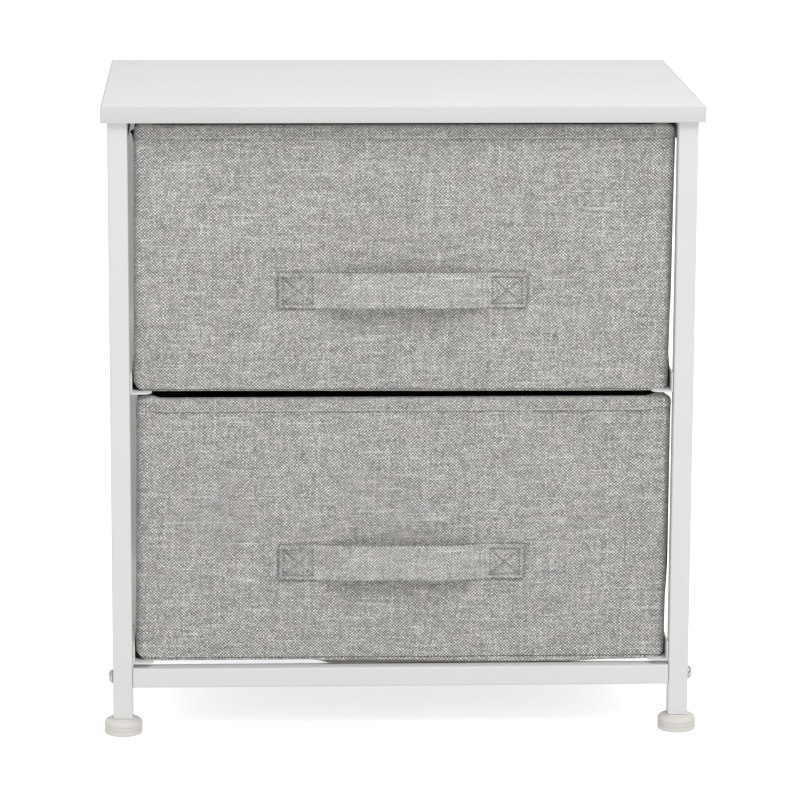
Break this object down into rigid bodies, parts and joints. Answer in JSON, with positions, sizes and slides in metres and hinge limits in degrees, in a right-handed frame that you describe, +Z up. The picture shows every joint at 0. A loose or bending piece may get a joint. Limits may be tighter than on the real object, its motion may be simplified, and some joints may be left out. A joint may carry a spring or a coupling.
{
  "type": "drawer storage stand",
  "caption": "Low storage stand with a flat white top, a slim square-tube frame on levelling feet, and pull-out fabric drawers with strap handles.",
  "frame": {"origin": "on the floor, under the middle of the stand", "axes": "+Z up, +X to the stand's right seen from the front, drawers open towards -Y"},
  "size_m": [0.454, 0.304, 0.483],
  "materials": {
    "board": "white laminate, satin",
    "frame_paint": "white powder coat",
    "bolt_zinc": "zinc plated",
    "screw_steel": "plain steel",
    "plug_nylon": "black nylon",
    "foot_plastic": "cream moulded plastic",
    "drawer_linen": "light grey linen-look weave",
    "handle_linen": "light grey linen-look weave",
    "drawer_nonwoven": "black non-woven fabric",
    "stiffener_board": "raw fibreboard"
  },
  "bodies": {
    "frame": {"top_board": "board", "front_left_leg": "frame_paint", "front_right_leg": "frame_paint", "rear_left_leg": "frame_paint", "rear_right_leg": "frame_paint", "left_top_rail": "frame_paint", "right_top_rail": "frame_paint", "front_crossbar": "frame_paint", "rear_lower_crossbar": "frame_paint", "rear_upper_crossbar": "frame_paint", "lower_left_runner": "frame_paint", "lower_right_runner": "frame_paint", "upper_left_runner": "frame_paint", "upper_right_runner": "frame_paint", "front_left_bolt": "bolt_zinc", "front_right_bolt": "bolt_zinc", "rear_lower_left_bolt": "bolt_zinc", "rear_lower_right_bolt": "bolt_zinc", "rear_upper_left_bolt": "bolt_zinc", "rear_upper_right_bolt": "bolt_zinc", "front_left_insert": "plug_nylon", "front_right_insert": "plug_nylon", "rear_lower_left_insert": "plug_nylon", "rear_lower_right_insert": "plug_nylon", "rear_upper_left_insert": "plug_nylon", "rear_upper_right_insert": "plug_nylon", "front_left_board_screw": "screw_steel", "front_right_board_screw": "screw_steel", "rear_left_board_screw": "screw_steel", "rear_right_board_screw": "screw_steel", "front_left_leg_insert": "plug_nylon", "front_right_leg_insert": "plug_nylon", "rear_left_leg_insert": "plug_nylon", "rear_right_leg_insert": "plug_nylon"},
    "lower_drawer": {"lower_drawer_front_cover": "drawer_linen", "lower_drawer_front_board": "stiffener_board", "lower_drawer_handle": "handle_linen", "lower_drawer_left_wall": "drawer_nonwoven", "lower_drawer_right_wall": "drawer_nonwoven", "lower_drawer_back_wall": "drawer_nonwoven", "lower_drawer_bottom": "drawer_nonwoven", "lower_drawer_bottom_board": "stiffener_board"},
    "upper_drawer": {"upper_drawer_front_cover": "drawer_linen", "upper_drawer_front_board": "stiffener_board", "upper_drawer_handle": "handle_linen", "upper_drawer_left_wall": "drawer_nonwoven", "upper_drawer_right_wall": "drawer_nonwoven", "upper_drawer_back_wall": "drawer_nonwoven", "upper_drawer_bottom": "drawer_nonwoven", "upper_drawer_bottom_board": "stiffener_board"},
    "front_left_stud_body": {"front_left_stud": "screw_steel"},
    "front_right_stud_body": {"front_right_stud": "screw_steel"},
    "rear_left_stud_body": {"rear_left_stud": "screw_steel"},
    "rear_right_stud_body": {"rear_right_stud": "screw_steel"},
    "front_left_foot_body": {"front_left_foot": "foot_plastic"},
    "front_right_foot_body": {"front_right_foot": "foot_plastic"},
    "rear_left_foot_body": {"rear_left_foot": "foot_plastic"},
    "rear_right_foot_body": {"rear_right_foot": "foot_plastic"}
  },
  "joints": [
    {"name": "lower_drawer_slide", "type": "slide", "parent": "frame", "child": "lower_drawer", "axis": [0, -1, 0], "range_m": [0, 0.2]},
    {"name": "upper_drawer_slide", "type": "slide", "parent": "frame", "child": "upper_drawer", "axis": [0, -1, 0], "range_m": [0, 0.2]},
    {"name": "front_left_foot_height", "type": "slide", "parent": "frame", "child": "front_left_stud_body", "axis": [0, 0, -1], "range_m": [0, 0.008]},
    {"name": "front_right_foot_height", "type": "slide", "parent": "frame", "child": "front_right_stud_body", "axis": [0, 0, -1], "range_m": [0, 0.008]},
    {"name": "rear_left_foot_height", "type": "slide", "parent": "frame", "child": "rear_left_stud_body", "axis": [0, 0, -1], "range_m": [0, 0.008]},
    {"name": "rear_right_foot_height", "type": "slide", "parent": "frame", "child": "rear_right_stud_body", "axis": [0, 0, -1], "range_m": [0, 0.008]},
    {"name": "front_left_foot_turn", "type": "hinge", "parent": "front_left_stud_body", "child": "front_left_foot_body", "pos_m": [-0.2125, -0.1375, 0], "axis": [0, 0, -1], "range_deg": [0, 2880]},
    {"name": "front_right_foot_turn", "type": "hinge", "parent": "front_right_stud_body", "child": "front_right_foot_body", "pos_m": [0.2125, -0.1375, 0], "axis": [0, 0, -1], "range_deg": [0, 2880]},
    {"name": "rear_left_foot_turn", "type": "hinge", "parent": "rear_left_stud_body", "child": "rear_left_foot_body", "pos_m": [-0.2125, 0.1375, 0], "axis": [0, 0, -1], "range_deg": [0, 2880]},
    {"name": "rear_right_foot_turn", "type": "hinge", "parent": "rear_right_stud_body", "child": "rear_right_foot_body", "pos_m": [0.2125, 0.1375, 0], "axis": [0, 0, -1], "range_deg": [0, 2880]}
  ],
  "couplings": [
    {"joint": "front_left_foot_turn", "follows": "front_left_foot_height", "rad_per_m": 6283.2},
    {"joint": "front_right_foot_turn", "follows": "front_right_foot_height", "rad_per_m": 6283.2},
    {"joint": "rear_left_foot_turn", "follows": "rear_left_foot_height", "rad_per_m": 6283.2},
    {"joint": "rear_right_foot_turn", "follows": "rear_right_foot_height", "rad_per_m": 6283.2}
  ]
}
